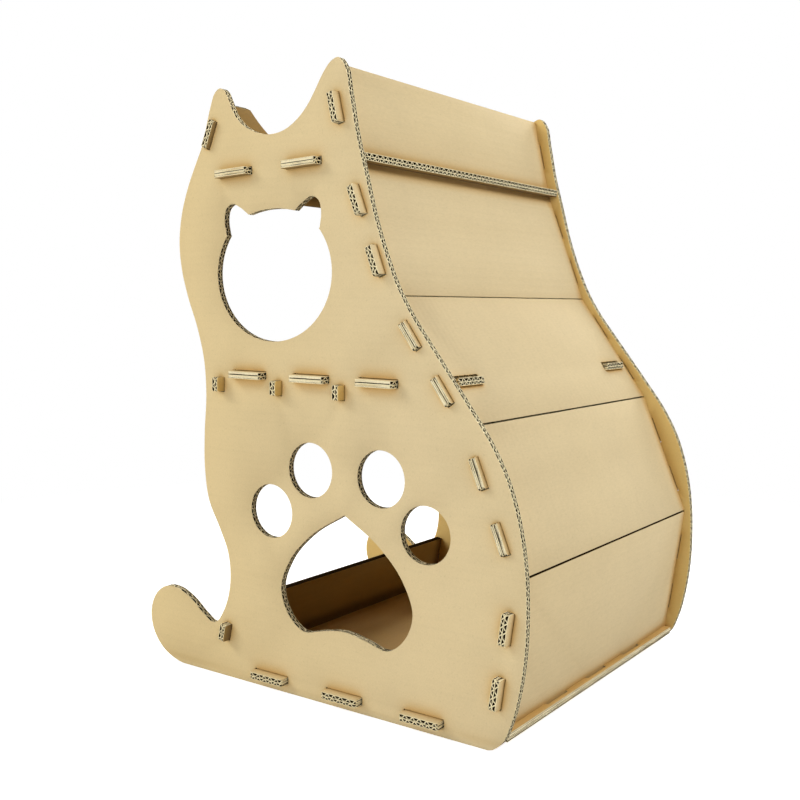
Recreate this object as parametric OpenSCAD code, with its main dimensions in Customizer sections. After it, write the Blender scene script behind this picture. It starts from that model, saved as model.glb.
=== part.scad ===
// Cat condo in double-wall corrugated board.
// Two cat-shaped panels stand on edge and carry flat boards, whose tabs pass through slots.
// X runs to the right seen from the front, Y from the front panel to the back one, Z up.
// The origin is on the ground, below the middle of the house. All sizes are in millimetres.

/* [Board] */
// Thickness of the corrugated board
board_t = 7; // [6:0.5:8]
// Play of a tab in its slot
slot_play = 0.8; // [0.4:0.1:1.2]
// Play at each end of a shelf tab
end_play = 1; // [0.4:0.1:1.5]
// How far a tab stands out of the panel's face
tab_reach = 9; // [5:1:12]
// The same for the waist, hip and left ear boards
short_reach = 4.5; // [3:0.5:8]
// Corner radius at the end of a tab
tab_corner = 2; // [1:0.5:3]

/* [Cat panels] */
// Depth of the house over both panels
depth = 380; // [340:10:440]
// Width of the window over its cheeks
window_w = 140; // [130:2:146]
// Turn of the window, up towards the back of the cat
window_turn = 1.7; // [0:0.1:3]
// Diameter of a toe hole
toe_d = 51; // [40:1:54]
// Half of the width of the paw's pad
pad_half = 75; // [66:1:80]

/* [Shelves] */
// Height of the floor's underside
floor_rise = 8; // [7:0.5:12]
// Height of the middle shelf's underside
shelf_rise = 295.5; // [290:0.5:300]
// Height of the roof's middle plane, halfway between its tabs
roof_rise = 490; // [486:1:494]
// Slope of the roof, up towards the back of the cat
roof_tilt = 2.6; // [0:0.2:4]
// Length of a shelf tab
shelf_tab = 40; // [30:1:44]
// Length of a side tab on the middle shelf or the roof
side_tab = 42; // [36:1:48]
// How far the middle shelf's side tabs are bent up
side_tab_bend = 14; // [0:1:25]

/* [Back wall] */
// Length of a wall tab
wall_tab = 27; // [20:1:32]
// Distance between the two tabs at one end of a board
wall_tab_pitch = 56; // [48:1:60]
// Gap where two boards meet edge to edge
butt_gap = 1.1; // [0.4:0.1:1.5]
// Distance between the lower board's tabs in the floor
foot_pitch = 83; // [60:1:100]
// Room beside those tabs, on the outer side of the wall
foot_gap = 2; // [0.5:0.5:3]

/* [Ears] */
// Depth of the scoop in the left ear board
scoop_deep = 46; // [20:1:52]
// Width of the scoop
scoop_wide = 302; // [200:2:310]

/* [Joists and sill] */
// Height of a joist under the middle shelf
joist_h = 28; // [20:1:40]
// Height of a joist's tab
joist_tab = 13.5; // [10:0.5:18]
// Distance between joists
joist_pitch = 73.5; // [60:0.5:80]
// Height of the sill's tab
sill_tab = 17; // [12:1:22]

/* [Hidden] */
// Clear width between the panels
inner = depth - 2 * board_t;
half_t = board_t / 2;
// Longest chord on a curved outline
chord = 6;
// How deep a joined shape sinks into its neighbour before the two are fused
bite = 1;
kraft = "#d9c391";
kraft_side = "#dcc69a";
kraft_inner = "#c9ad78";

// Outline of the sitting cat, from the bottom right corner up the back, over the ears,
// down the chest and round the tail. Each pair is [across, up].
rump = [[186, 0], [198.8, 8], [207.2, 26], [214.8, 57], [219, 92], [219.5, 120], [217.4, 156],
    [211.2, 191], [199.2, 227]];
back_line = [[183, 256], [162, 284], [126, 330], [103, 360], [90, 381], [78, 407], [66, 439], [54, 481]];
right_ear = [[45, 513], [37.2, 550], [31.5, 573], [25, 580], [17, 577.5], [9, 569.5], [0, 556], [-10, 542]];
ear_dip = [[-22, 531], [-37, 523], [-54, 520.5], [-72, 524], [-87, 531], [-98.5, 542], [-107, 558.5]];
left_ear = [[-111.5, 565.5], [-117, 568], [-123, 565], [-129, 553], [-134, 538], [-141, 516], [-149, 501]];
cheek = [[-161, 477], [-170, 450], [-173, 424], [-170, 399], [-162, 373], [-149, 342], [-140, 310]];
chest = [[-137.5, 278], [-140, 240], [-140, 205], [-134, 172], [-120, 147], [-109, 124], [-106, 100]];
tail = [[-110, 77], [-117, 62], [-124, 53], [-131, 50.5], [-141, 55.5], [-163, 70.5], [-180, 77],
    [-195, 77], [-210, 68], [-219.5, 47], [-217, 30], [-205, 13], [-188, 3.5], [-170, 0]];

// Window: a broad oval head with a flatter crown and two ears, drawn at this half width
window_at = [-51, 394.5];
head_half = 70;
head_flat = 0.9;
crown_r = 114;
crown_up = 58.8;
// Right ear of the window from its middle, from the inner root to the outer root
window_ear = [[28.5, 55.6], [39, 62.9], [49, 66.7], [56.3, 62.7], [59.1, 52.5], [57, 38.3]];

// Paw: four toes and a pad, even on both sides of one line
paw_x = 34.5;
toes = [[87, 172], [39.8, 215.3]];
// Right half of the pad, from the tip to the dip below, as [share of the half width, height]
pad_tip = [0, 178.5];
pad_side = [[0.53, 154], [0.86, 127.5], [1, 99.5], [0.88, 76], [0.64, 63], [0.34, 67.5], [0, 71.5]];

// Knuckles of the back wall in the middle of its boards, from the roof down to the floor
wall_top_x = 36;
wall_foot_x = 191;
wall_bends = [[81.2, 372.9], [158.6, 266.5], [208.9, 146.1]];
// Place of the tab pair along a board, as a share of its length
tab_share = 0.512;

floor_left = -130;
floor_right = 201;
floor_tabs = [-52.5, 35, 122];
shelf_left = -134;
shelf_tabs = [-80, -4.5, 71];
// Length of the shelf's side tab from its fold
shelf_reach = 15.5;
// The roof's tabs, from the point that its slope turns on
roof_x = -55.5;
roof_tabs = [-41.5, 41.5];
roof_eave = 105;
// Side tabs of the middle shelf and the roof, this far in from the panels
side_tab_in = 33;
side_tabs = [-1, 1] * (inner / 2 - side_tab_in);

right_ear_top = [15.8, 576.1];
right_ear_foot_x = 34.6;
left_ear_top = [-117.4, 554.7];
left_ear_low = [-151.5, 473.5];
left_ear_tab_at = 31;
joist_mid_x = -43.5;
sill_top = [-103.8, 73.5];
sill_foot_x = -116;
sill_tab_at = 28.5;

floor_z = floor_rise + half_t;
floor_top = floor_rise + board_t;
shelf_z = shelf_rise + half_t;

// Top of a joist's middle plane, counted from the middle joist
function joist_top(i) = [joist_mid_x + i * joist_pitch, shelf_rise];
// Unit vector and heading from one point to another
function along(a, b) = (b - a) / norm(b - a);
function heading(a, b) = atan2(b[1] - a[1], b[0] - a[0]);
// Height of the roof's middle plane above a point
function roof_at(x) = roof_rise + (x - roof_x) * tan(roof_tilt);
// Half of the board's thickness, measured upright through the roof
roof_half = half_t / cos(roof_tilt);

wall = concat(
    [[wall_top_x, roof_at(wall_top_x) - roof_half]],
    wall_bends,
    [[wall_foot_x, floor_top]]);
last_bend = len(wall) - 1;
right_ear_line = [right_ear_top, [right_ear_foot_x, roof_at(right_ear_foot_x) + roof_half]];
right_ear_tab_at = norm(right_ear_line[1] - right_ear_line[0]) / 2;
sill_line = [sill_top, [sill_foot_x, floor_top]];

// A smooth curve through knots: one cubic for each span, with slopes from the neighbours
function slope(k, i, first, last) =
    i == 0 ? first
    : i == len(k) - 1 ? last
    : let (a = k[i] - k[i - 1], b = k[i + 1] - k[i])
      (along(k[i - 1], k[i]) * norm(b) + along(k[i], k[i + 1]) * norm(a)) / (norm(a) + norm(b));
function cubic(p, q, m, n, t) =
    (2 * t ^ 3 - 3 * t ^ 2 + 1) * p + (t ^ 3 - 2 * t ^ 2 + t) * m
    + (3 * t ^ 2 - 2 * t ^ 3) * q + (t ^ 3 - t ^ 2) * n;
function curve(k, first, last) = [
    for (i = [0 : len(k) - 2])
        let (
            span = norm(k[i + 1] - k[i]),
            steps = max(3, ceil(span / chord)),
            m = slope(k, i, first, last) * span,
            n = slope(k, i + 1, first, last) * span)
        for (j = [0 : steps - 1]) cubic(k[i], k[i + 1], m, n, j / steps),
    k[len(k) - 1]
];
// Points of an arc about a centre
function arc(c, r, from, to, steps = 4) = [
    for (j = [0 : steps]) let (a = from + (to - from) * j / steps) c + r * [cos(a), sin(a)]
];

// Lays flat work on the line from a to b: its X runs along the line, its Y across the house
module on_line(a, b) {
    translate([a[0], 0, a[1]]) rotate([0, -heading(a, b), 0]) children();
}
// Presses flat work into a board, half to each side of its plane
module sheet() {
    translate([0, 0, -half_t]) linear_extrude(board_t) children();
}
// A tab with rounded end corners, which points along Y from the edge that it grows out of
module tab(w, reach) {
    r = tab_corner;
    polygon(concat(
        [[-w / 2, -bite], [w / 2, -bite]],
        arc([w / 2 - r, reach - r], r, 0, 90),
        arc([r - w / 2, reach - r], r, 90, 180)));
}
// A board that spans the house from x0 to x1, with tabs of width w in both panels
module spanning(x0, x1, tabs, w, reach = tab_reach) {
    translate([x0, -inner / 2]) square([x1 - x0, inner]);
    for (x = tabs, side = [0, 180])
        rotate(side) translate([side == 0 ? x : -x, inner / 2]) tab(w, board_t + reach);
}
// Slot for the tab of a board that leans on the line from a down to b, centred at s along it.
// Its play is below the tab and to the right.
module slot_on(a, b, s, w) {
    translate(a + along(a, b) * s) rotate(heading(a, b))
        translate([-w / 2, -half_t]) square([w + slot_play, board_t + slot_play]);
}
// Slot for a lying board's tab: the tab rests on the slot's lower edge
module lying_slot(w) {
    translate([-w / 2 - end_play, -half_t]) square([w + 2 * end_play, board_t + slot_play]);
}
// Length along a board of the slot that another board passes at an angle
function crossing(angle) = board_t / cos(angle) + board_t * tan(abs(angle)) + slot_play;
// How far along the line from a to b another line through p crosses it, at that slope
function cross_at(a, b, p, slope) =
    let (normal = [-sin(slope), cos(slope)]) (p - a) * normal / (along(a, b) * normal);

// How far a board's square end stays back, so that its corner meets a plane at that angle
function seat(angle) = half_t * tan(abs(angle));
function wall_heading(i) = heading(wall[i], wall[i + 1]);
function wall_length(i) = norm(wall[i + 1] - wall[i]);
function wall_inset(i) =
    i == 0 ? seat(wall_heading(0) + 90 - roof_tilt)
    : i == last_bend ? seat(wall_heading(i - 1) + 90)
    : butt_gap / 2;
// How far the outer face runs past a board's middle at a bend, where the ends are pressed to a mitre
function wall_mitre(i) =
    i == 0 || i == last_bend ? 0 : -half_t * tan((wall_heading(i) - wall_heading(i - 1)) / 2);
function wall_reach(i) = i == 1 || i == 2 ? short_reach : tab_reach;
function wall_tabs(i) = [for (s = [-1, 1]) wall_length(i) * tab_share + s * wall_tab_pitch / 2];

// Outline of the cat and of its cut-outs, with X across and Y up
module cat_outline() {
    polygon(curve(
        concat(rump, back_line, right_ear, ear_dip, left_ear, cheek, chest, tail), [1, 0], [1, 0]));
}
module window_hole() {
    ear = curve(window_ear, along(window_ear[0], window_ear[1]), along(window_ear[4], window_ear[5]));
    translate(window_at) rotate(window_turn) scale(window_w / (2 * head_half)) {
        intersection() {
            scale([1, head_flat]) circle(r = head_half, $fn = 96);
            translate([0, crown_up - crown_r]) circle(r = crown_r, $fn = 128);
        }
        for (side = [0, 1]) mirror([side, 0]) polygon(concat([[0, 0]], ear));
    }
}
module paw_hole() {
    pad = [for (p = pad_side) [p[0] * pad_half, p[1]]];
    right = curve(concat([pad_tip], pad), along(pad_tip, pad[0]), [-1, 0]);
    left = [for (i = [len(right) - 2 : -1 : 1]) [-right[i][0], right[i][1]]];
    translate([paw_x, 0]) {
        for (side = [-1, 1], toe = toes) translate([side * toe[0], toe[1]]) circle(d = toe_d, $fn = 64);
        polygon(concat(right, left));
    }
}
// The slots that both panels have, with X across and Y up
module panel_slots() {
    for (i = [0 : last_bend - 1], s = wall_tabs(i)) slot_on(wall[i], wall[i + 1], s, wall_tab);
    slot_on(right_ear_line[0], right_ear_line[1], right_ear_tab_at, wall_tab);
    slot_on(left_ear_top, left_ear_low, left_ear_tab_at, wall_tab);
    slot_on(sill_line[0], sill_line[1], sill_tab_at, sill_tab);
    for (x = floor_tabs) translate([x, floor_z]) lying_slot(shelf_tab);
    for (x = shelf_tabs) translate([x, shelf_z]) lying_slot(shelf_tab);
    translate([roof_x, roof_rise]) rotate(roof_tilt)
        for (x = roof_tabs) translate([x, 0]) lying_slot(shelf_tab);
    for (i = [-1 : 1]) slot_on(joist_top(i), joist_top(i) - [0, 1], joist_tab / 2, joist_tab);
}
module cat_panel() {
    rotate([90, 0, 0]) linear_extrude(board_t) difference() {
        cat_outline();
        window_hole();
        paw_hole();
        panel_slots();
    }
}

module front_panel() {
    color(kraft) translate([0, board_t - depth / 2, 0]) cat_panel();
}
module back_panel() {
    color(kraft) translate([0, depth / 2, 0]) cat_panel();
}
module floor_panel() {
    lean = wall_heading(last_bend - 1) + 90;
    slot_x = wall_foot_x + half_t * tan(lean);
    color(kraft_inner) translate([0, 0, floor_z]) sheet() difference() {
        spanning(floor_left, floor_right, floor_tabs, shelf_tab);
        for (i = [-1 : 1]) translate([slot_x + foot_gap / 2, i * foot_pitch])
            square([crossing(lean) + foot_gap, shelf_tab + slot_play], center = true);
    }
}
// X of the waist board's inner face at a height, where the shelf ends
function waist_inner(z) =
    let (d = along(wall[1], wall[2])) wall[1][0] + (z - wall[1][1]) * d[0] / d[1] + half_t / d[1];
function shelf_right() = waist_inner(shelf_rise + board_t);
module middle_shelf() {
    right = shelf_right();
    color(kraft_inner) {
        translate([0, 0, shelf_z]) sheet() spanning(shelf_left, right, shelf_tabs, shelf_tab);
        // The side tabs fold along the shelf's lower edge
        for (y = side_tabs) translate([right, y, shelf_rise]) rotate([0, -side_tab_bend, 0])
            linear_extrude(board_t) rotate(-90) translate([0, bite]) tab(side_tab, shelf_reach - bite);
    }
}
// Where the roof's upper edge meets the left ear board's inner face, along the roof
function roof_left_end() =
    let (
        d = along(left_ear_low, left_ear_top),
        foot = left_ear_low + half_t * [d[1], -d[0]] - [roof_x, roof_rise],
        x = foot * [cos(roof_tilt), sin(roof_tilt)],
        y = foot * [-sin(roof_tilt), cos(roof_tilt)],
        lean = heading(left_ear_low, left_ear_top) - roof_tilt)
    x + (half_t - y) / tan(lean);
module roof_shelf() {
    left = roof_left_end();
    lean = heading(left_ear_low, left_ear_top) - roof_tilt;
    reach = (board_t + half_t) / sin(lean) + board_t / tan(lean);
    color(kraft_side) on_line([roof_x, roof_rise], [roof_x + 1, roof_at(roof_x + 1)]) sheet() {
        spanning(left, roof_eave, roof_tabs, shelf_tab);
        for (y = side_tabs) translate([left, y]) rotate(90) tab(side_tab, reach);
    }
}
module right_ear_board() {
    length = norm(right_ear_line[1] - right_ear_line[0]);
    lean = heading(right_ear_line[0], right_ear_line[1]) + 90 - roof_tilt;
    color(kraft_side) on_line(right_ear_line[0], right_ear_line[1]) sheet()
        spanning(0, length - seat(lean), [right_ear_tab_at], wall_tab);
}
module left_ear_board() {
    length = norm(left_ear_low - left_ear_top);
    lean = heading(left_ear_low, left_ear_top) - roof_tilt;
    roof_cross = cross_at(left_ear_top, left_ear_low, [roof_x, roof_rise], roof_tilt);
    scoop_r = (scoop_wide ^ 2 / 4 + scoop_deep ^ 2) / (2 * scoop_deep);
    color(kraft_side) on_line(left_ear_top, left_ear_low) sheet() difference() {
        spanning(0, length, [left_ear_tab_at], wall_tab, short_reach);
        translate([scoop_deep - scoop_r, 0]) circle(r = scoop_r, $fn = 180);
        for (y = side_tabs) translate([roof_cross, y])
            square([crossing(90 - lean), side_tab + slot_play], center = true);
    }
}
// One board of the back wall, counted from the top; children are cut out of its plan.
// The foot tabs stand past its lower end.
module wall_board(i, foot_tabs = []) {
    start = wall_inset(i);
    end = wall_length(i) - wall_inset(i + 1);
    lead = wall_mitre(i);
    trail = wall_mitre(i + 1);
    // The mitres are drawn this far to both sides of the board, and past a square end
    past = 2 * board_t;
    slant = past / half_t;
    last = end + (i + 1 == last_bend ? past : 0);
    color(kraft_side) on_line(wall[i], wall[i + 1]) intersection() {
        sheet() difference() {
            union() {
                spanning(start - abs(lead), end + abs(trail), wall_tabs(i), wall_tab, wall_reach(i));
                for (y = foot_tabs) translate([end, y]) rotate(-90)
                    tab(shelf_tab, board_t / cos(wall_heading(i) + 90));
            }
            children();
        }
        rotate([90, 0, 0]) linear_extrude(2 * depth, center = true) polygon([
            [start + slant * lead, -past], [last - slant * trail, -past],
            [last + slant * trail, past], [start - slant * lead, past]]);
    }
}
module upper_wall_board() {
    wall_board(0);
}
module waist_wall_board() {
    tab_middle = [shelf_right(), shelf_rise] + half_t * [-sin(side_tab_bend), cos(side_tab_bend)];
    tab_cross = cross_at(wall[1], wall[2], tab_middle, side_tab_bend);
    wall_board(1)
        for (y = side_tabs) translate([tab_cross, y])
            square([crossing(wall_heading(1) + 90 - side_tab_bend), side_tab + slot_play], center = true);
}
module hip_wall_board() {
    wall_board(2);
}
module lower_wall_board() {
    wall_board(last_bend - 1, [-foot_pitch, 0, foot_pitch]);
}
module left_sill_board() {
    length = norm(sill_line[1] - sill_line[0]);
    lean = heading(sill_line[0], sill_line[1]) + 90;
    color(kraft_inner) on_line(sill_line[0], sill_line[1]) sheet()
        spanning(0, length - seat(lean), [sill_tab_at], sill_tab);
}
// One joist on edge under the middle shelf: -1 left, 0 middle, 1 right
module shelf_joist(i) {
    color(kraft_inner) on_line(joist_top(i), joist_top(i) - [0, 1]) sheet()
        spanning(0, joist_h, [joist_tab / 2], joist_tab);
}

front_panel();
back_panel();
floor_panel();
middle_shelf();
roof_shelf();
right_ear_board();
left_ear_board();
upper_wall_board();
waist_wall_board();
hip_wall_board();
lower_wall_board();
left_sill_board();
shelf_joist(-1);  // shelf_joist_left
shelf_joist(0);  // shelf_joist_middle
shelf_joist(1);  // shelf_joist_right
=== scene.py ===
import math

import bpy
import numpy as np
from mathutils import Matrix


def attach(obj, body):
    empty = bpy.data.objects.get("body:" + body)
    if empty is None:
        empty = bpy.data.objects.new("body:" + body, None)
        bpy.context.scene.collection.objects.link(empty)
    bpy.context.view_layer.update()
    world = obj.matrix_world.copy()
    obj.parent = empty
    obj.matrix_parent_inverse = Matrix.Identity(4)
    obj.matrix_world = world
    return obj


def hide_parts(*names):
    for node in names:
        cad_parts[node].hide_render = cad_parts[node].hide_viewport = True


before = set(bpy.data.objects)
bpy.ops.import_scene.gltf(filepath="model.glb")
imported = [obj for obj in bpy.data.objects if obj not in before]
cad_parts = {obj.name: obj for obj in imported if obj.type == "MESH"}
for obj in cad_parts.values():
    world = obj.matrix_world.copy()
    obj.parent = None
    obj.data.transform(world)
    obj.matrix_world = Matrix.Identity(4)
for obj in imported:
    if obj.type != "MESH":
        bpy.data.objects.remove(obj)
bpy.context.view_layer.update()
scene = bpy.context.scene
scene.view_settings.view_transform = "Standard"
print("frame loaded:", len(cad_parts), "boards")

millimetres = 1000.0  # in a metre
metres = 0.001  # in a millimetre

# camera at the photograph's angle: yaw to the right of the front, pitch down, small roll
viewpoint = {
    "place": (0.61328, -0.93102, 0.36939),
    "yaw": 35.016,
    "pitch": 5.269,
    "roll": 0.579,
    "lens": 47.92,
    "sensor": 36.0,
    "clipStart": 0.01,
}


def setAxes(thing, right, up, back, place):
    # the axes and the place are the columns of the object's matrix
    matrix = np.eye(4)
    matrix[:3] = np.column_stack([right, up, back, place])
    thing.matrix_world = matrix.T.tolist()


def placeCamera(spec):
    # axes from yaw and pitch, then turned about the line of sight by the roll
    yaw, pitch, roll = (math.radians(spec[angle]) for angle in ("yaw", "pitch", "roll"))
    ahead = np.array([-math.sin(yaw), math.cos(yaw), 0.0])
    forward = math.cos(pitch) * ahead - math.sin(pitch) * np.array([0.0, 0.0, 1.0])
    level = np.array([math.cos(yaw), math.sin(yaw), 0.0])
    upright = np.cross(level, forward)
    right = math.cos(roll) * level + math.sin(roll) * upright
    up = math.cos(roll) * upright - math.sin(roll) * level
    data = bpy.data.cameras.new("photoCamera")
    data.lens = spec["lens"]
    data.sensor_width = spec["sensor"]
    data.clip_start = spec["clipStart"]
    camera = bpy.data.objects.new("photoCamera", data)
    scene.collection.objects.link(camera)
    setAxes(camera, right, up, -forward, spec["place"])
    scene.camera = camera


placeCamera(viewpoint)
print("camera placed")

floatSocket, vectorSocket = "NodeSocketFloat", "NodeSocketVector"


# node helpers
def addNode(tree, kind, inputs=None, **settings):
    node = tree.nodes.new(kind)
    for name, value in settings.items():
        setattr(node, name, value)
    for key, value in (inputs or {}).items():
        if isinstance(value, bpy.types.NodeSocket):
            tree.links.new(value, node.inputs[key])
        else:
            node.inputs[key].default_value = value
    return node


def maths(tree, operation, a, b=0.0):
    return addNode(tree, "ShaderNodeMath", {0: a, 1: b}, operation=operation).outputs[0]


def ramp(tree, value, low, high, lowTo=0.0, highTo=1.0):
    # value between low and high carried to lowTo and highTo, held outside
    return addNode(tree, "ShaderNodeMapRange", {0: value, 1: low, 2: high, 3: lowTo, 4: highTo}).outputs[0]


def swing(tree, value, span, middle, amount):
    # value across its span carried from the middle less an amount to the middle plus it
    return ramp(tree, value, *span, middle - amount, middle + amount)


def noise(tree, vector, scale, detail, roughness=0.5):
    inputs = {"Vector": vector, "Scale": scale, "Detail": detail, "Roughness": roughness}
    return addNode(tree, "ShaderNodeTexNoise", inputs).outputs["Fac"]


def stretched(tree, vector, scale):
    return addNode(tree, "ShaderNodeMapping", {"Vector": vector, "Scale": scale}).outputs[0]


def axisOf(tree, vector, axis):
    return addNode(tree, "ShaderNodeSeparateXYZ", {0: vector}).outputs[axis]


def blended(tree, factor, first, second):
    return addNode(tree, "ShaderNodeMix", {0: factor, 6: first, 7: second}, data_type="RGBA").outputs[2]


def tinted(tree, colour, factor):
    # a colour multiplied by one value on all three channels
    grey = addNode(tree, "ShaderNodeCombineColor", {0: factor, 1: factor, 2: factor}).outputs[0]
    inputs = {0: 1.0, 6: colour, 7: grey}
    return addNode(tree, "ShaderNodeMix", inputs, data_type="RGBA", blend_type="MULTIPLY").outputs[2]


def newGroup(name, inputs, outputs):
    group = bpy.data.node_groups.new(name, "ShaderNodeTree")
    for label, kind, value in inputs:
        socket = group.interface.new_socket(label, in_out="INPUT", socket_type=kind)
        socket.default_value = value
    for label in outputs:
        group.interface.new_socket(label, in_out="OUTPUT", socket_type=floatSocket)
    return group, group.nodes.new("NodeGroupInput"), group.nodes.new("NodeGroupOutput")


def putOut(group, made, values):
    for label, value in values.items():
        group.links.new(value, made.inputs[label])


# noise as scale per metre, detail and roughness; the tint leans from the first X to the second
grain = {
    "patches": (3.2, 2.0, 0.5),
    "clouds": (22.0, 4.0, 0.65),
    "flecks": (420.0, 1.0, 0.5),
    "fibres": (1.0, 3.0, 0.5),
    "fibreStretch": (700.0, 180.0, 700.0),
    "fleckSpan": (0.66, 0.74),
    "fleckAmount": 0.5,
    "lean": (0.10, -0.20),
    "leanShare": 0.6,
}


def paperFibres(spec):
    # noise at four scales: a slow drift of tint that leans to the left, clouds of pulp,
    # short fibres from stretched noise, and dark flecks where the noise is highest
    group, given, made = newGroup(
        "paperFibres",
        [("Vector", vectorSocket, (0, 0, 0)), ("Fleck Amount", floatSocket, spec["fleckAmount"])],
        ("Drift", "Cloud", "Fibre", "Fleck"))
    vector = given.outputs["Vector"]
    lean = ramp(group, axisOf(group, vector, "X"), *spec["lean"])
    leaning = maths(group, "MULTIPLY", lean, spec["leanShare"])
    patches = maths(group, "MULTIPLY", noise(group, vector, *spec["patches"]), 1.0 - spec["leanShare"])
    fleck = ramp(group, noise(group, vector, *spec["flecks"]), *spec["fleckSpan"])
    putOut(group, made, {
        "Drift": maths(group, "ADD", leaning, patches),
        "Cloud": noise(group, vector, *spec["clouds"]),
        "Fibre": noise(group, stretched(group, vector, spec["fibreStretch"]), *spec["fibres"]),
        "Fleck": maths(group, "MULTIPLY", fleck, given.outputs["Fleck Amount"])})
    return group


# noise as scale and detail, on board coordinates stretched per metre
showThrough = {
    "pitch": 0.0077,
    "stretch": (7.0, 60.0, 1.0),
    "noise": (1.0, 3.0),
    "shift": 2.0,
    "strength": (0.35, 0.65),
    "line": (0.2, 1.0),
}


def fluteShow(spec):
    # the liner sinks a little between the crests that it is glued to:
    # sine of two pi times the distance across the flutes over their pitch, broken by noise
    group, given, made = newGroup(
        "fluteShow",
        [("Board", vectorSocket, (0, 0, 0)), ("Pitch", floatSocket, spec["pitch"])],
        ("Line", "Height"))
    board = given.outputs["Board"]
    drift = noise(group, stretched(group, board, spec["stretch"]), *spec["noise"])
    turns = maths(group, "DIVIDE", axisOf(group, board, "Y"), given.outputs["Pitch"])
    turn = maths(group, "MULTIPLY", turns, 2 * math.pi)
    wave = maths(group, "SINE", maths(group, "ADD", turn, maths(group, "MULTIPLY", drift, spec["shift"])))
    # a thin line of painted shade where the liner sags between the crests
    line = maths(group, "MULTIPLY", ramp(group, wave, *spec["line"]), ramp(group, drift, *spec["strength"]))
    putOut(group, made, {"Line": line, "Height": wave})
    return group


streaking = {"stretch": (22.0, 1300.0, 1.0), "noise": (1.0, 2.0), "span": (0.52, 0.68)}


def edgeStreaks(spec):
    # noise that is long along a pressed edge and a fraction of a millimetre through the board
    group, given, made = newGroup("edgeStreaks", [("Board", vectorSocket, (0, 0, 0))], ("Streak",))
    streak = noise(group, stretched(group, given.outputs["Board"], spec["stretch"]), *spec["noise"])
    putOut(group, made, {"Streak": ramp(group, streak, *spec["span"])})
    return group


fibresGroup = paperFibres(grain)
fluteGroup = fluteShow(showThrough)
streakGroup = edgeStreaks(streaking)

# what all papers share: spans of the noise, and how much it does
paperCommon = {
    "toneSpan": (0.3, 0.7),
    "driftSpan": (0.15, 0.80),
    "roughSpan": (0.2, 0.8),
    "roughSwing": 0.06,
    "fleckDepth": 0.12,
    "fibreRelief": 0.25,
    "bumpDepth": 0.00012,
    "gloss": 0.2,
    "paintedCornerSamples": 8,
    "paintedCornerOpen": (0.54, 0.93),  # openness at which the painted corner shade is darkest, and at which the paper is plain again
    "footFade": (0.003, 0.014),  # no painted corner shade where the house meets the ground: heights between which it comes in
    "indoorsFade": (0.176, 0.186),  # distance from mid-depth over which the floor's painted indoor shade ends at the panels
}


def paperMaterial(name, spec, common):
    # kraft paper: a base colour that drifts to a second tint, with pulp clouds, fibres and flecks;
    # on a liner the flutes show through as bumps and as thin lines of painted shade; some papers also get
    # painted shade, warm like bounced light, in corners found by ambient occlusion, and a darker floor
    # inside the house
    material = bpy.data.materials.new(name)
    material.use_nodes = True
    tree = material.node_tree
    shader = tree.nodes["Principled BSDF"]
    board = addNode(tree, "ShaderNodeUVMap", uv_map="board").outputs[0]
    place = addNode(tree, "ShaderNodeTexCoord").outputs["Object"]
    fibres = addNode(tree, "ShaderNodeGroup", node_tree=fibresGroup)
    tree.links.new(place, fibres.inputs["Vector"])
    fibres.inputs["Fleck Amount"].default_value = spec["flecks"]
    fibre = fibres.outputs["Fibre"]
    clouds = swing(tree, fibres.outputs["Cloud"], common["toneSpan"], 1.0, spec["cloud"])
    tone = maths(tree, "MULTIPLY", clouds, swing(tree, fibre, common["toneSpan"], 1.0, spec["fibre"]))
    flecks = maths(tree, "MULTIPLY", fibres.outputs["Fleck"], common["fleckDepth"])
    tone = maths(tree, "SUBTRACT", tone, flecks)
    relief = fibre
    drift = ramp(tree, fibres.outputs["Drift"], *common["driftSpan"])
    colour = blended(tree, drift, spec["colour"], spec["drift"])
    if "lines" in spec:
        flutes = addNode(tree, "ShaderNodeGroup", node_tree=fluteGroup)
        tree.links.new(board, flutes.inputs["Board"])
        flutes.inputs["Pitch"].default_value = spec["pitch"]
        # painted shade: the paper is darker along the sag between flute crests
        tone = maths(tree, "SUBTRACT", tone, maths(tree, "MULTIPLY", flutes.outputs["Line"], spec["lines"]))
        relief = maths(tree, "MULTIPLY", relief, common["fibreRelief"])
        relief = maths(tree, "ADD", relief, flutes.outputs["Height"])
    if "streak" in spec:
        streaks = addNode(tree, "ShaderNodeGroup", node_tree=streakGroup)
        tree.links.new(board, streaks.inputs["Board"])
        colour = blended(tree, streaks.outputs["Streak"], colour, spec["streak"])
    if "indoors" in spec:
        # painted shade: inside the house the paper is darker and warmer, ending at the panels
        depth = maths(tree, "ABSOLUTE", axisOf(tree, place, "Y"))
        colour = blended(tree, ramp(tree, depth, *common["indoorsFade"], 1.0, 0.0), colour, spec["indoors"])
    if "paintedCornerShade" in spec:
        # painted shade: the paper turns darker and warmer, like shade with bounced light, where ambient
        # occlusion finds a corner
        reach = {"Distance": spec["paintedCornerReach"]}
        cornerOcclusion = addNode(tree, "ShaderNodeAmbientOcclusion", reach, samples=common["paintedCornerSamples"])
        paintedCornerShade = ramp(tree, cornerOcclusion.outputs["AO"], *common["paintedCornerOpen"], spec["paintedCornerShare"], 0.0)
        share = maths(tree, "MULTIPLY", paintedCornerShade, ramp(tree, axisOf(tree, place, "Z"), *common["footFade"]))
        colour = blended(tree, share, colour, spec["paintedCornerShade"])
    tree.links.new(tinted(tree, colour, tone), shader.inputs["Base Color"])
    rough = swing(tree, fibre, common["roughSpan"], spec["rough"], common["roughSwing"])
    tree.links.new(rough, shader.inputs["Roughness"])
    dents = {"Strength": spec["bump"], "Distance": common["bumpDepth"], "Height": relief}
    tree.links.new(addNode(tree, "ShaderNodeBump", dents).outputs[0], shader.inputs["Normal"])
    shader.inputs["Specular IOR Level"].default_value = spec.get("gloss", common["gloss"])
    return material


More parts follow.
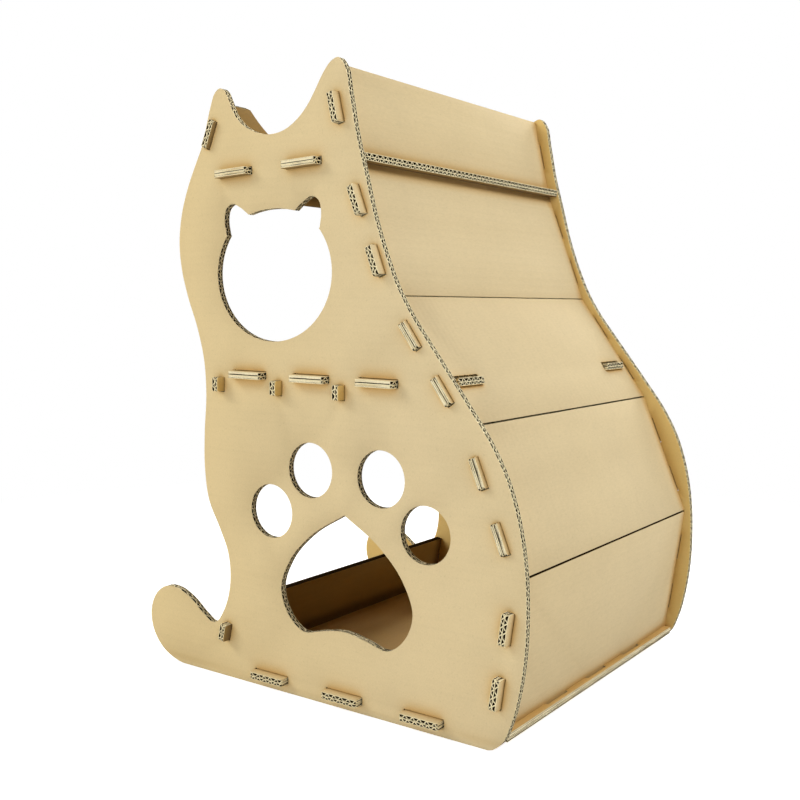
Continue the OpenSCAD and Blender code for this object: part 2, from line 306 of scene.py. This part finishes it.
# double-wall board from its outer face inwards, in millimetres
layers = {"face": 0.62, "coarse": 2.80, "middle": 0.68, "fine": 2.32, "back": 0.58}
waves = {
    "coarse": {"pitch": 7.75, "paper": 0.45, "bulge": 0.068, "skew": 0.30, "square": 1.5},
    "fine": {"pitch": 6.9, "paper": 0.42, "bulge": 0.08, "skew": 0.10, "square": 1.6},
}
# how the knife leaves the cut, in millimetres; shallow is the sine of an edge's angle to the flutes,
# and mitreReach is how far from a mitred end the board leans with it
cut = {
    "recess": 0.25,
    "rounding": 0.2,
    "slit": 0.75,
    "pressed": 0.35,
    "shallow": 0.28,
    "shortest": 0.3,
    "mitreReach": 15.0,
}
# points in a pitch, places looked at across the bulge, steps along a pressed edge
counts = {"pitch": 16, "bulge": 5, "ribbon": 16}
# slow drifts: the wave's turn and reach as size, rate and share of the seed,
# and the setbacks of the cut waves and the pressed edges as size and two rates
drifts = {
    "turn": ((0.35, 0.113, 1.0), (0.25, 0.291, 2.3)),
    "reach": (0.07, 0.173, 1.7),
    "recess": (0.6, 1.9, 0.37),
    "pressed": (0.6, 0.21, 0.057),
}
# cosines from which a face is turned to a side, lies flat, or an axis runs through the depth;
# then how near, in millimetres, is on a plane, at an end, level, or nothing at all
limits = {
    "facing": 0.7,
    "flat": 0.999,
    "depthwise": 0.5,
    "plane": 0.02,
    "end": 0.5,
    "level": 1e-3,
    "tiny": 1e-9,
}
mergeDigits, lineDigits = 3, 4  # decimals at which corners are merged, and lines across the flutes
# what the next board, a bent tab, the fine wave and its edge add to the seed, so that no two waves run alike
seedSteps = {"board": 0.7, "tab": 0.4, "fine": 1.3, "fineEdge": 0.8}

linerPaper = {"cloud": 0.02, "fibre": 0.03, "flecks": 0.5, "rough": 0.88, "bump": 0.25}
kraftFace = {
    **linerPaper,
    "colour": (0.690, 0.560, 0.330, 1),
    "drift": (0.700, 0.545, 0.280, 1),
    "lines": 0.016,
    "pitch": waves["coarse"]["pitch"] * metres,
    # painted corner shade, warm like light bounced between boards
    "paintedCornerShade": (0.52, 0.31, 0.085, 1),
    "paintedCornerReach": 0.014,
    "paintedCornerShare": 0.80,
}
kraftInside = {
    **linerPaper,
    "colour": (0.730, 0.515, 0.185, 1),
    "drift": (0.710, 0.490, 0.172, 1),
    "lines": 0.012,
    "pitch": waves["fine"]["pitch"] * metres,
    # painted corner shade, warm like light bounced between boards
    "paintedCornerShade": (0.62, 0.39, 0.115, 1),
    "paintedCornerReach": 0.018,
    "paintedCornerShare": 0.5,
}
cutPaper = {
    "colour": (0.96, 0.85, 0.54, 1),
    "drift": (0.94, 0.81, 0.49, 1),
    "cloud": 0.03,
    "fibre": 0.06,
    "flecks": 0.3,
    "rough": 0.92,
    "bump": 0.4,
}
# painted shade: the fluting paper, the liners' hidden sides and faces in the seams are near-black, as the
# shade in the hollows
fluteHollowPaintedShade = {
    "colour": (0.034, 0.021, 0.008, 1),
    "drift": (0.042, 0.026, 0.010, 1),
    "cloud": 0.04,
    "fibre": 0.05,
    "flecks": 0.6,
    "rough": 0.94,
    "bump": 0.3,
    "gloss": 0.0,
}
pressedPaper = {
    "colour": (0.96, 0.86, 0.58, 1),
    "drift": (0.91, 0.79, 0.51, 1),
    "cloud": 0.05,
    "fibre": 0.08,
    "flecks": 0.3,
    "rough": 0.92,
    "bump": 0.6,
    "streak": (0.66, 0.52, 0.27, 1),
}
# painted shade: a dark brown copy of the inside paper for undersides and inner faces that lie in shade
kraftPaintedShade = {
    **kraftInside,
    "colour": (0.380, 0.255, 0.095, 1),
    "drift": (0.360, 0.240, 0.088, 1),
    "paintedCornerShade": (0.14, 0.085, 0.030, 1),
    "paintedCornerShare": 0.85,
}
# the floor's face paper, with painted shade inside the house
kraftFloorPaintedShade = {**kraftFace, "indoors": (0.600, 0.400, 0.165, 1)}
paperFinish = {
    "kraftFace": kraftFace,
    "kraftInside": kraftInside,
    "cutPaper": cutPaper,
    "fluteHollowPaintedShade": fluteHollowPaintedShade,
    "pressedEdge": pressedPaper,
    "kraftPaintedShade": kraftPaintedShade,
    "kraftFloorPaintedShade": kraftFloorPaintedShade,
}
faceSlot, insideSlot, cutSlot, hollowPaintedShadeSlot, pressedSlot, paintedShadeSlot, floorPaintedShadeSlot = range(len(paperFinish))
paper = {name: paperMaterial(name, spec, paperCommon) for name, spec in paperFinish.items()}
print("paper finishes:", ", ".join(paper))

# every board: the side that its coarse flutes face, and the way that they run;
# some lean their waves more, open or shut a seam in millimetres, or have a paper of painted shade on one
# side
toFront, toBack = (0, -1, 0), (0, 1, 0)
toRight, toLeft, toTop = (1, 0, 0), (-1, 0, 0), (0, 0, 1)
acrossHouse, throughDepth, upAndDown = (1, 0, 0), (0, 1, 0), (0, 0, 1)
boards = {
    "front_panel": {"faces": toFront, "flutes": acrossHouse, "skew": 0.15},
    "back_panel": {"faces": toBack, "flutes": acrossHouse, "skew": 0.15},
    "floor_panel": {
        "faces": toTop, "flutes": throughDepth, "skew": 0.15, "slitLow": True, "upper": floorPaintedShadeSlot},
    "middle_shelf": {"faces": toTop, "flutes": acrossHouse, "bentTabs": 1},
    "roof_shelf": {"faces": toTop, "flutes": acrossHouse, "skew": 0.3, "under": paintedShadeSlot},
    "right_ear_board": {"faces": toRight, "flutes": throughDepth},
    "left_ear_board": {"faces": toLeft, "flutes": throughDepth, "under": paintedShadeSlot},
    "upper_wall_board": {"faces": toRight, "flutes": throughDepth},
    "waist_wall_board": {"faces": toRight, "flutes": upAndDown},
    "hip_wall_board": {"faces": toRight, "flutes": upAndDown, "seam": 0.5, "shut": 1.15},
    "lower_wall_board": {"faces": toRight, "flutes": throughDepth, "seam": 0.4},
    "left_sill_board": {"faces": toLeft, "flutes": throughDepth, "seam": 0.0, "under": paintedShadeSlot},
    "shelf_joist_left": {"faces": toLeft, "flutes": throughDepth},
    "shelf_joist_middle": {"faces": toLeft, "flutes": throughDepth},
    "shelf_joist_right": {"faces": toLeft, "flutes": throughDepth},
}


def readNode(node):
    # corners and triangles of a CAD board in millimetres, equal corners merged
    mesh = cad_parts[node].data
    mesh.calc_loop_triangles()
    points = np.empty(len(mesh.vertices) * 3)
    mesh.vertices.foreach_get("co", points)
    triangles = np.empty(len(mesh.loop_triangles) * 3, dtype=np.int32)
    mesh.loop_triangles.foreach_get("vertices", triangles)
    points = points.reshape(-1, 3) * millimetres
    rounded = np.round(points, mergeDigits)
    first, place = np.unique(rounded, axis=0, return_index=True, return_inverse=True)[1:]
    return points[first], place.reshape(-1)[triangles.reshape(-1, 3)]


def flatPlans(node, spec):
    # the board's outer face, and that of tabs bent out of it, each laid flat:
    # (along the flutes, across them); a seam draws the ends in at the outer face,
    # and the lean shuts it again at the inner one
    points, triangles = readNode(node)
    corner = points[triangles]
    normal = np.cross(corner[:, 1] - corner[:, 0], corner[:, 2] - corner[:, 0])
    size = np.linalg.norm(normal, axis=1)
    normal = normal / np.maximum(size, limits["tiny"])[:, None]
    facing = normal @ np.array(spec["faces"], float) > limits["facing"]
    seam = spec.get("seam", 0.0)
    shut = seam + spec.get("shut", 0.0)
    plans = []
    while len(plans) <= spec.get("bentTabs", 0):
        up = normal[np.argmax(size * facing)]
        facing &= normal @ up < limits["flat"]
        plan = flatPlan(points, triangles, normal, size, up, np.array(spec["flutes"], float))
        plan["butted"] = buttedEdges(plan) & ("seam" in spec)
        across = plan["flat"][:, plan["slope"]]
        across[:] = np.clip(across, plan["ends"][0] + seam, plan["ends"][1] - seam)
        plan["lean"] = plan["lean"][0] - shut, plan["lean"][1] + shut
        plans.append(plan)
    return plans


def buttedEdges(plan):
    # the outline's edges along the two ends that meet the next board
    at = plan["flat"][plan["edges"], plan["slope"]]
    return np.any([np.all(np.abs(at - end) < limits["end"], axis=1) for end in plan["ends"]], axis=0)


def flatPlan(points, triangles, normal, size, up, along):
    # one face on axes along the flutes, across them and up: its corners, triangles, outline and thickness
    along = along - up * (along @ up)
    along /= np.linalg.norm(along)
    axes = np.stack([along, np.cross(up, along), up])
    level = (points @ up)[triangles].mean(axis=1)

    def face(side):
        own = normal @ up * side > limits["flat"]
        height = level[np.argmax(size * own)]
        return height, triangles[own & (np.abs(level - height) < limits["plane"])]

    top, outer = face(1)
    bottom, inner = face(-1)
    used, local = np.unique(outer, return_inverse=True)
    local = local.reshape(-1, 3)
    flat = points[used] @ axes[:2].T
    slope = int(abs(axes[0, 1]) > limits["depthwise"])  # the axis that doesn't run through the depth
    under = (points[np.unique(inner)] @ axes[:2].T)[:, slope]
    ends = flat[:, slope].min(), flat[:, slope].max()
    lean = under.min() - ends[0], under.max() - ends[1]  # a mitred end leans by this much through the board
    return {"flat": flat, "triangles": local, "axes": axes, "top": top, "thick": top - bottom,
            "edges": openEdges(local), "slope": slope, "ends": ends, "lean": lean}


def openEdges(triangles):
    # edges that only one triangle has, in that triangle's direction, so the board lies to their left
    edges = np.concatenate([triangles[:, [0, 1]], triangles[:, [1, 2]], triangles[:, [2, 0]]])
    count = edges.max() + 1
    own = edges[:, 0] * count + edges[:, 1]
    back = edges[:, 1] * count + edges[:, 0]
    return edges[~np.isin(own, back)]


def outlineEnds(plan):
    # start and end of every edge of the outline
    return plan["flat"][plan["edges"][:, 0]], plan["flat"][plan["edges"][:, 1]]


def inwardShift(flat, edges):
    # for each corner of the outline, the move that shifts both its edges inwards by one
    direction = flat[edges[:, 1]] - flat[edges[:, 0]]
    direction /= np.maximum(np.linalg.norm(direction, axis=1), limits["tiny"])[:, None]
    left = np.stack([-direction[:, 1], direction[:, 0]], axis=1)
    total = np.zeros_like(flat)
    np.add.at(total, edges[:, 0], left)
    np.add.at(total, edges[:, 1], left)
    square = (total ** 2).sum(axis=1)
    return 2.0 * total / np.maximum(square, 1.0)[:, None] * (square > 0)[:, None]


class Sheets:
    # gathers points as (along, across, height), faces, their finish and where each point lies on its paper
    def __init__(self):
        self.points, self.papers, self.faces, self.finish = [], [], [], []
        self.count = 0

    def add(self, points, paperPlace=None):
        # gives the number of the first new point
        base = self.count
        self.points.append(points)
        self.papers.append(points[:, :2] if paperPlace is None else paperPlace)
        self.count += len(points)
        return base

    def cover(self, faces, finish, base):
        self.faces.append(faces + base)
        self.finish.append(np.broadcast_to(finish, len(faces)))


def liner(sheets, plan, top, bottom, roundTop, roundBottom, topSlot, bottomSlot):
    # a flat sheet on the outline between two heights; an outer rim is rounded inwards by a chamfer;
    # its cut rim is bright, and where it meets the next board it takes its upper side's paper, which on the
    # inner liners is near-black painted shade
    flat, triangles, edges = plan["flat"], plan["triangles"], plan["edges"]
    shift = inwardShift(flat, edges)
    rings = (roundTop, top), (0.0, top - roundTop), (0.0, bottom + roundBottom), (roundBottom, bottom)
    count = len(flat)
    points = [np.column_stack([flat + shift * inset, np.full(count, height)]) for inset, height in rings]
    base = sheets.add(np.concatenate(points))
    sheets.cover(triangles, topSlot, base)
    sheets.cover(triangles[:, ::-1] + 3 * count, bottomSlot, base)
    rim = np.where(plan["butted"], topSlot, cutSlot)
    for ring, slot in enumerate((topSlot, rim, bottomSlot)):
        a, b = edges[:, 0] + ring * count, edges[:, 1] + ring * count
        sheets.cover(np.stack([b, a, a + count, b + count], axis=1), slot, base)


def crossings(lines, start, end):
    # even-odd rule: the edges by which each line across the outline enters and leaves it
    low, high = np.minimum(start[:, 1], end[:, 1]), np.maximum(start[:, 1], end[:, 1])
    line, edge = np.nonzero((lines[:, None] >= low) & (lines[:, None] < high))
    share = (lines[line] - start[edge, 1]) / (end[edge, 1] - start[edge, 1])
    order = np.lexsort((start[edge, 0] + share * (end[edge, 0] - start[edge, 0]), line))
    return line[order][::2], edge[order][::2], edge[order][1::2]


def waveHeights(across, low, high, spec, skew, seed):
    # upper and lower side of a paper wave at distances across the flutes:
    # height = middle + reach * tanh(square * (sin(turn) - skew * cos(turn) ^ 2)) / tanh(square),
    # with turn and reach drifting slowly; the knife has spread the paper, so its upper side
    # is the highest of the wave within the bulge, and its lower side the lowest
    near = across + spec["bulge"] * spec["pitch"] * np.linspace(-1, 1, counts["bulge"])[:, None]
    turn = 2 * np.pi * near / spec["pitch"]
    for size, rate, share in drifts["turn"]:
        turn = turn + size * np.sin(near * rate + share * seed)
    turn = turn + seed
    bent = np.sin(turn) - (spec["skew"] + skew) * np.cos(turn) ** 2
    wave = np.tanh(spec["square"] * bent) / math.tanh(spec["square"])
    size, rate, share = drifts["reach"]
    reach = (high - low - spec["paper"]) / 2
    height = (high + low) / 2 + reach * wave * (1 - size * (1 + np.sin(near * rate + share * seed)))
    return height.max(axis=0) + spec["paper"] / 2, height.min(axis=0) - spec["paper"] / 2


def fluting(sheets, plan, low, high, spec, skew, seed):
    # a paper wave between two heights, carried along the flutes and cut off a little inside the outline
    start, end = outlineEnds(plan)
    first, last = plan["flat"][:, 1].min(), plan["flat"][:, 1].max()
    steps = int((last - first) / spec["pitch"] * counts["pitch"]) + 2
    level = np.abs(start[:, 1] - end[:, 1]) < limits["level"]
    lines = np.concatenate([np.linspace(first, last, steps), start[level, 1]])
    across = np.unique(np.round(lines, lineDigits))
    sides = waveHeights(across, low, high, spec, skew, seed)
    curves = [np.column_stack([across, height]) for height in sides]
    strip, enter, leave = crossings((across[:-1] + across[1:]) / 2, start, end)
    size, fast, slow = drifts["recess"]
    recess = cut["recess"] * (1 + size * np.sin(strip * fast + seed) * np.sin(strip * slow))

    def corner(curve, step, edge, inwards):
        at = curve[strip + step]
        share = np.clip((at[:, 0] - start[edge, 1]) / (end[edge, 1] - start[edge, 1]), 0, 1)
        along = start[edge, 0] + share * (end[edge, 0] - start[edge, 0]) + inwards * recess
        return np.column_stack([along, at])

    quad = (0, enter, 1), (0, leave, -1), (1, leave, -1), (1, enter, 1)
    base = sheets.add(np.concatenate([corner(curve, *place) for curve in curves for place in quad]))
    upper, lower = np.arange(8 * len(strip)).reshape(2, 4, len(strip))
    sheets.cover(upper.T, hollowPaintedShadeSlot, base)
    sheets.cover(lower[::-1].T, hollowPaintedShadeSlot, base)
    # where the board meets the next one, the cut wave is painted near-black as shade in the seam
    for (a, b), edge in (((0, 3), enter), ((2, 1), leave)):
        slots = np.where(plan["butted"][edge], hollowPaintedShadeSlot, cutSlot)
        sheets.cover(np.stack([upper[a], upper[b], lower[b], lower[a]], axis=1), slots, base)


def pressedEdge(sheets, plan, high, low, seed):
    # an edge that runs nearly along the flutes is pressed shut: a ribbon just inside it,
    # set back by one plus the product of two slow sines of the distance along the edge
    start, end = outlineEnds(plan)
    run = end - start
    length = np.linalg.norm(run, axis=1)
    shut = (np.abs(run[:, 1]) < cut["shallow"] * length) & (length > cut["shortest"])
    start, run, length = start[shut], run[shut], length[shut]
    inwards = np.stack([-run[:, 1], run[:, 0]], axis=1) / length[:, None]
    steps = counts["ribbon"]
    share = np.linspace(0, 1, steps + 1)
    size, fast, slow = drifts["pressed"]
    wave = np.sin(share * length[:, None] * fast + seed) * np.sin(share * length[:, None] * slow + 2 * seed)
    back = cut["pressed"] * (1 + size * wave)
    line = start[:, None] + share[:, None] * run[:, None] + inwards[:, None] * back[..., None]
    flat = line.reshape(-1, 2)
    count = len(flat)
    points = np.concatenate([np.column_stack([flat, np.full(count, height)]) for height in (high, low)])
    first = (np.arange(len(start))[:, None] * (steps + 1) + np.arange(steps)).reshape(-1)
    quads = np.stack([first + 1, first, first + count, first + 1 + count], axis=1)
    # a pressed edge that meets the next board is painted near-black as shade in the seam
    slots = np.where(plan["butted"][shut], hollowPaintedShadeSlot, pressedSlot)
    sheets.cover(quads, np.repeat(slots, steps), sheets.add(points, points[:, [0, 2]]))


def leaned(points, plan):
    # points sheared towards a mitred end: the end's lean, times their share of the board's depth,
    # times their nearness to the end
    depth = (plan["top"] - points[:, 2]) / plan["thick"]
    at = points[:, plan["slope"]]
    near = [np.clip(1 - np.abs(at - end) / cut["mitreReach"], 0, 1) for end in plan["ends"]]
    points[:, plan["slope"]] += depth * sum(lean * share for lean, share in zip(plan["lean"], near))
    return points


def meshFrom(name, parts):
    # board coordinates become places in the frame, and equal corners are merged
    places, papers, faces, finish, count = [], [], [], [], 0
    for sheets, plan in parts:
        places.append(leaned(np.concatenate(sheets.points), plan) @ plan["axes"])
        papers += sheets.papers
        faces += [face + count for face in sheets.faces]
        finish += sheets.finish
        count += sheets.count
    rounded = np.round(np.concatenate(places), mergeDigits)
    merged, place = np.unique(rounded, axis=0, return_inverse=True)
    lengths = np.concatenate([np.full(len(face), face.shape[1]) for face in faces])
    corners = np.concatenate([face.reshape(-1) for face in faces])
    paperPlace = np.concatenate(papers)[corners] * metres
    used, corners = np.unique(place.reshape(-1)[corners], return_inverse=True)
    starts = np.concatenate([[0], np.cumsum(lengths)[:-1]])
    mesh = bpy.data.meshes.new(name)
    mesh.vertices.add(len(used))
    mesh.vertices.foreach_set("co", (merged[used] * metres).reshape(-1))
    mesh.loops.add(len(corners))
    mesh.loops.foreach_set("vertex_index", corners.reshape(-1).astype(np.int32))
    mesh.polygons.add(len(lengths))
    mesh.polygons.foreach_set("loop_start", starts.astype(np.int32))
    mesh.polygons.foreach_set("material_index", np.concatenate(finish).astype(np.int32))
    mesh.update(calc_edges=True)
    layer = mesh.uv_layers.new(name="board")
    layer.data.foreach_set("uv", paperPlace.reshape(-1))
    for material in paper.values():
        mesh.materials.append(material)
    mesh.validate()
    return mesh


def boardLayers(plan, spec, seed):
    # three liners with a coarse and a fine wave between them, on the outline of one flat plan
    scale = plan["thick"] / sum(layers.values())
    heights = [plan["top"]]
    for thickness in layers.values():
        heights.append(heights[-1] - thickness * scale)
    face, coarse, middle, fine, back, bottom = heights
    skew = spec.get("skew", 0.0)
    coarseSlit, fineSlit = (0.0, cut["slit"]) if spec.get("slitLow") else (cut["slit"], 0.0)
    sheets = Sheets()
    liner(sheets, plan, face, coarse, cut["rounding"], 0.0, spec.get("upper", faceSlot), hollowPaintedShadeSlot)
    fluting(sheets, plan, middle, coarse, waves["coarse"], skew, seed)
    pressedEdge(sheets, plan, coarse, middle + coarseSlit, seed)
    # the middle liner lies between the waves and is painted near-black as shade
    liner(sheets, plan, middle, fine, 0.0, 0.0, hollowPaintedShadeSlot, hollowPaintedShadeSlot)
    fluting(sheets, plan, back, fine, waves["fine"], skew, seed + seedSteps["fine"])
    pressedEdge(sheets, plan, fine, back + fineSlit, seed + seedSteps["fineEdge"])
    liner(sheets, plan, back, bottom, 0.0, cut["rounding"], hollowPaintedShadeSlot, spec.get("under", insideSlot))
    return sheets, plan


def corrugatedBoard(node, spec, seed):
    # the board that stands for one CAD node, with the node's own outline and place
    plans = enumerate(flatPlans(node, spec))
    parts = [boardLayers(plan, spec, seed + seedSteps["tab"] * tab) for tab, plan in plans]
    piece = bpy.data.objects.new(node + "_board", meshFrom(node + "_board", parts))
    scene.collection.objects.link(piece)
    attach(piece, "root")
    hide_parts(node)
    return piece


triangleTotal = 0
for number, (node, spec) in enumerate(boards.items()):
    piece = corrugatedBoard(node, spec, seedSteps["board"] * number)
    triangles = sum(len(polygon.vertices) - 2 for polygon in piece.data.polygons)
    triangleTotal += triangles
    print(node, "board:", triangles, "triangles")
print("all boards:", triangleTotal, "triangles")

# floor, white room and soft lamps
white = (1, 1, 1, 1)
studio = {
    "ambient": 0.09,
    "floorHalf": 4.0,
    "floorHeight": -0.0006,
    "floorGlow": 0.82,
    "floorPale": (0.80, 0.80, 0.80, 1),
    "floorDim": (0.70, 0.70, 0.70, 1),
    "floorFade": (0.5, 1.1),
    "lampTarget": (0.0, 0.0, 0.28),
}
lamps = {
    "keyLamp": {"place": (-0.7, -7.5, 0.9), "size": 3.6, "watts": 288.0, "colour": (1.0, 0.99, 0.97)},
    "leftLamp": {"place": (-5.4, -3.6, 4.6), "size": 3.3, "watts": 240.0, "colour": (1.0, 0.985, 0.95)},
    "rightLamp": {"place": (3.70, 0.15, 3.70), "size": 2.6, "watts": 177.0, "colour": (1.0, 0.99, 0.985)},
    "backLamp": {"place": (-0.3, 5.4, 3.8), "size": 3.0, "watts": 200.0, "colour": (1.0, 0.99, 0.97)},
}


def seenDirectly(tree):
    # one where the camera, a reflection or glass looks at the surface, zero for the light it gives to others
    path = addNode(tree, "ShaderNodeLightPath")
    seen = maths(tree, "MAXIMUM", path.outputs["Is Camera Ray"], path.outputs["Is Glossy Ray"])
    return maths(tree, "MAXIMUM", seen, path.outputs["Is Transmission Ray"])


def mixedShader(tree, factor, first, second):
    inputs = {0: factor, 1: first.outputs[0], 2: second.outputs[0]}
    return addNode(tree, "ShaderNodeMixShader", inputs).outputs[0]


def makeRoom(spec):
    # white where it is looked at, and a low even light on the house
    world = bpy.data.worlds.new("whiteRoom")
    scene.world = world
    world.use_nodes = True
    tree = world.node_tree
    tree.nodes.clear()
    ambient = addNode(tree, "ShaderNodeBackground", {0: white, 1: spec["ambient"]})
    bright = addNode(tree, "ShaderNodeBackground", {0: white, 1: 1.0})
    addNode(tree, "ShaderNodeOutputWorld", {0: mixedShader(tree, seenDirectly(tree), ambient, bright)})


def makeFloor(spec):
    # a flat square just below the feet
    half, height = spec["floorHalf"], spec["floorHeight"]
    corners = [(x * half, y * half, height) for x, y in ((-1, -1), (1, -1), (1, 1), (-1, 1))]
    mesh = bpy.data.meshes.new("paleFloor")
    mesh.from_pydata(corners, [], [(0, 1, 2, 3)])
    material = bpy.data.materials.new("paleFloor")
    material.use_nodes = True
    tree = material.node_tree
    tree.nodes.clear()
    seen = seenDirectly(tree)
    # seen directly it glows nearly white, so the shadow stays faint; the light it gives back is dimmer
    shade = blended(tree, seen, spec["floorDim"], spec["floorPale"])
    matt = addNode(tree, "ShaderNodeBsdfDiffuse", {0: shade})
    strength = maths(tree, "MULTIPLY", seen, spec["floorGlow"])
    glow = addNode(tree, "ShaderNodeEmission", {0: white, 1: strength})
    near = addNode(tree, "ShaderNodeAddShader", {0: matt.outputs[0], 1: glow.outputs[0]})
    # far from the house it fades into the white room
    place = addNode(tree, "ShaderNodeTexCoord").outputs["Object"]
    distance = addNode(tree, "ShaderNodeVectorMath", {0: place}, operation="LENGTH").outputs["Value"]
    away = maths(tree, "MULTIPLY", ramp(tree, distance, *spec["floorFade"]), seen)
    far = addNode(tree, "ShaderNodeEmission", {0: white, 1: 1.0})
    addNode(tree, "ShaderNodeOutputMaterial", {0: mixedShader(tree, away, near, far)})
    mesh.materials.append(material)
    floor = bpy.data.objects.new("paleFloor", mesh)
    scene.collection.objects.link(floor)


def makeLamp(name, spec, target):
    # a round lamp that looks from its place at the target
    data = bpy.data.lights.new(name, "AREA")
    data.shape = "DISK"
    data.size = spec["size"]
    data.energy = spec["watts"]
    data.color = spec["colour"]
    lamp = bpy.data.objects.new(name, data)
    scene.collection.objects.link(lamp)
    back = np.array(spec["place"]) - np.array(target)
    back /= np.linalg.norm(back)
    right = np.cross((0, 0, 1), back)
    right /= np.linalg.norm(right)
    setAxes(lamp, right, np.cross(back, right), back, spec["place"])


makeRoom(studio)
makeFloor(studio)
for name, spec in lamps.items():
    makeLamp(name, spec, studio["lampTarget"])
print("room lit by", len(lamps), "lamps")
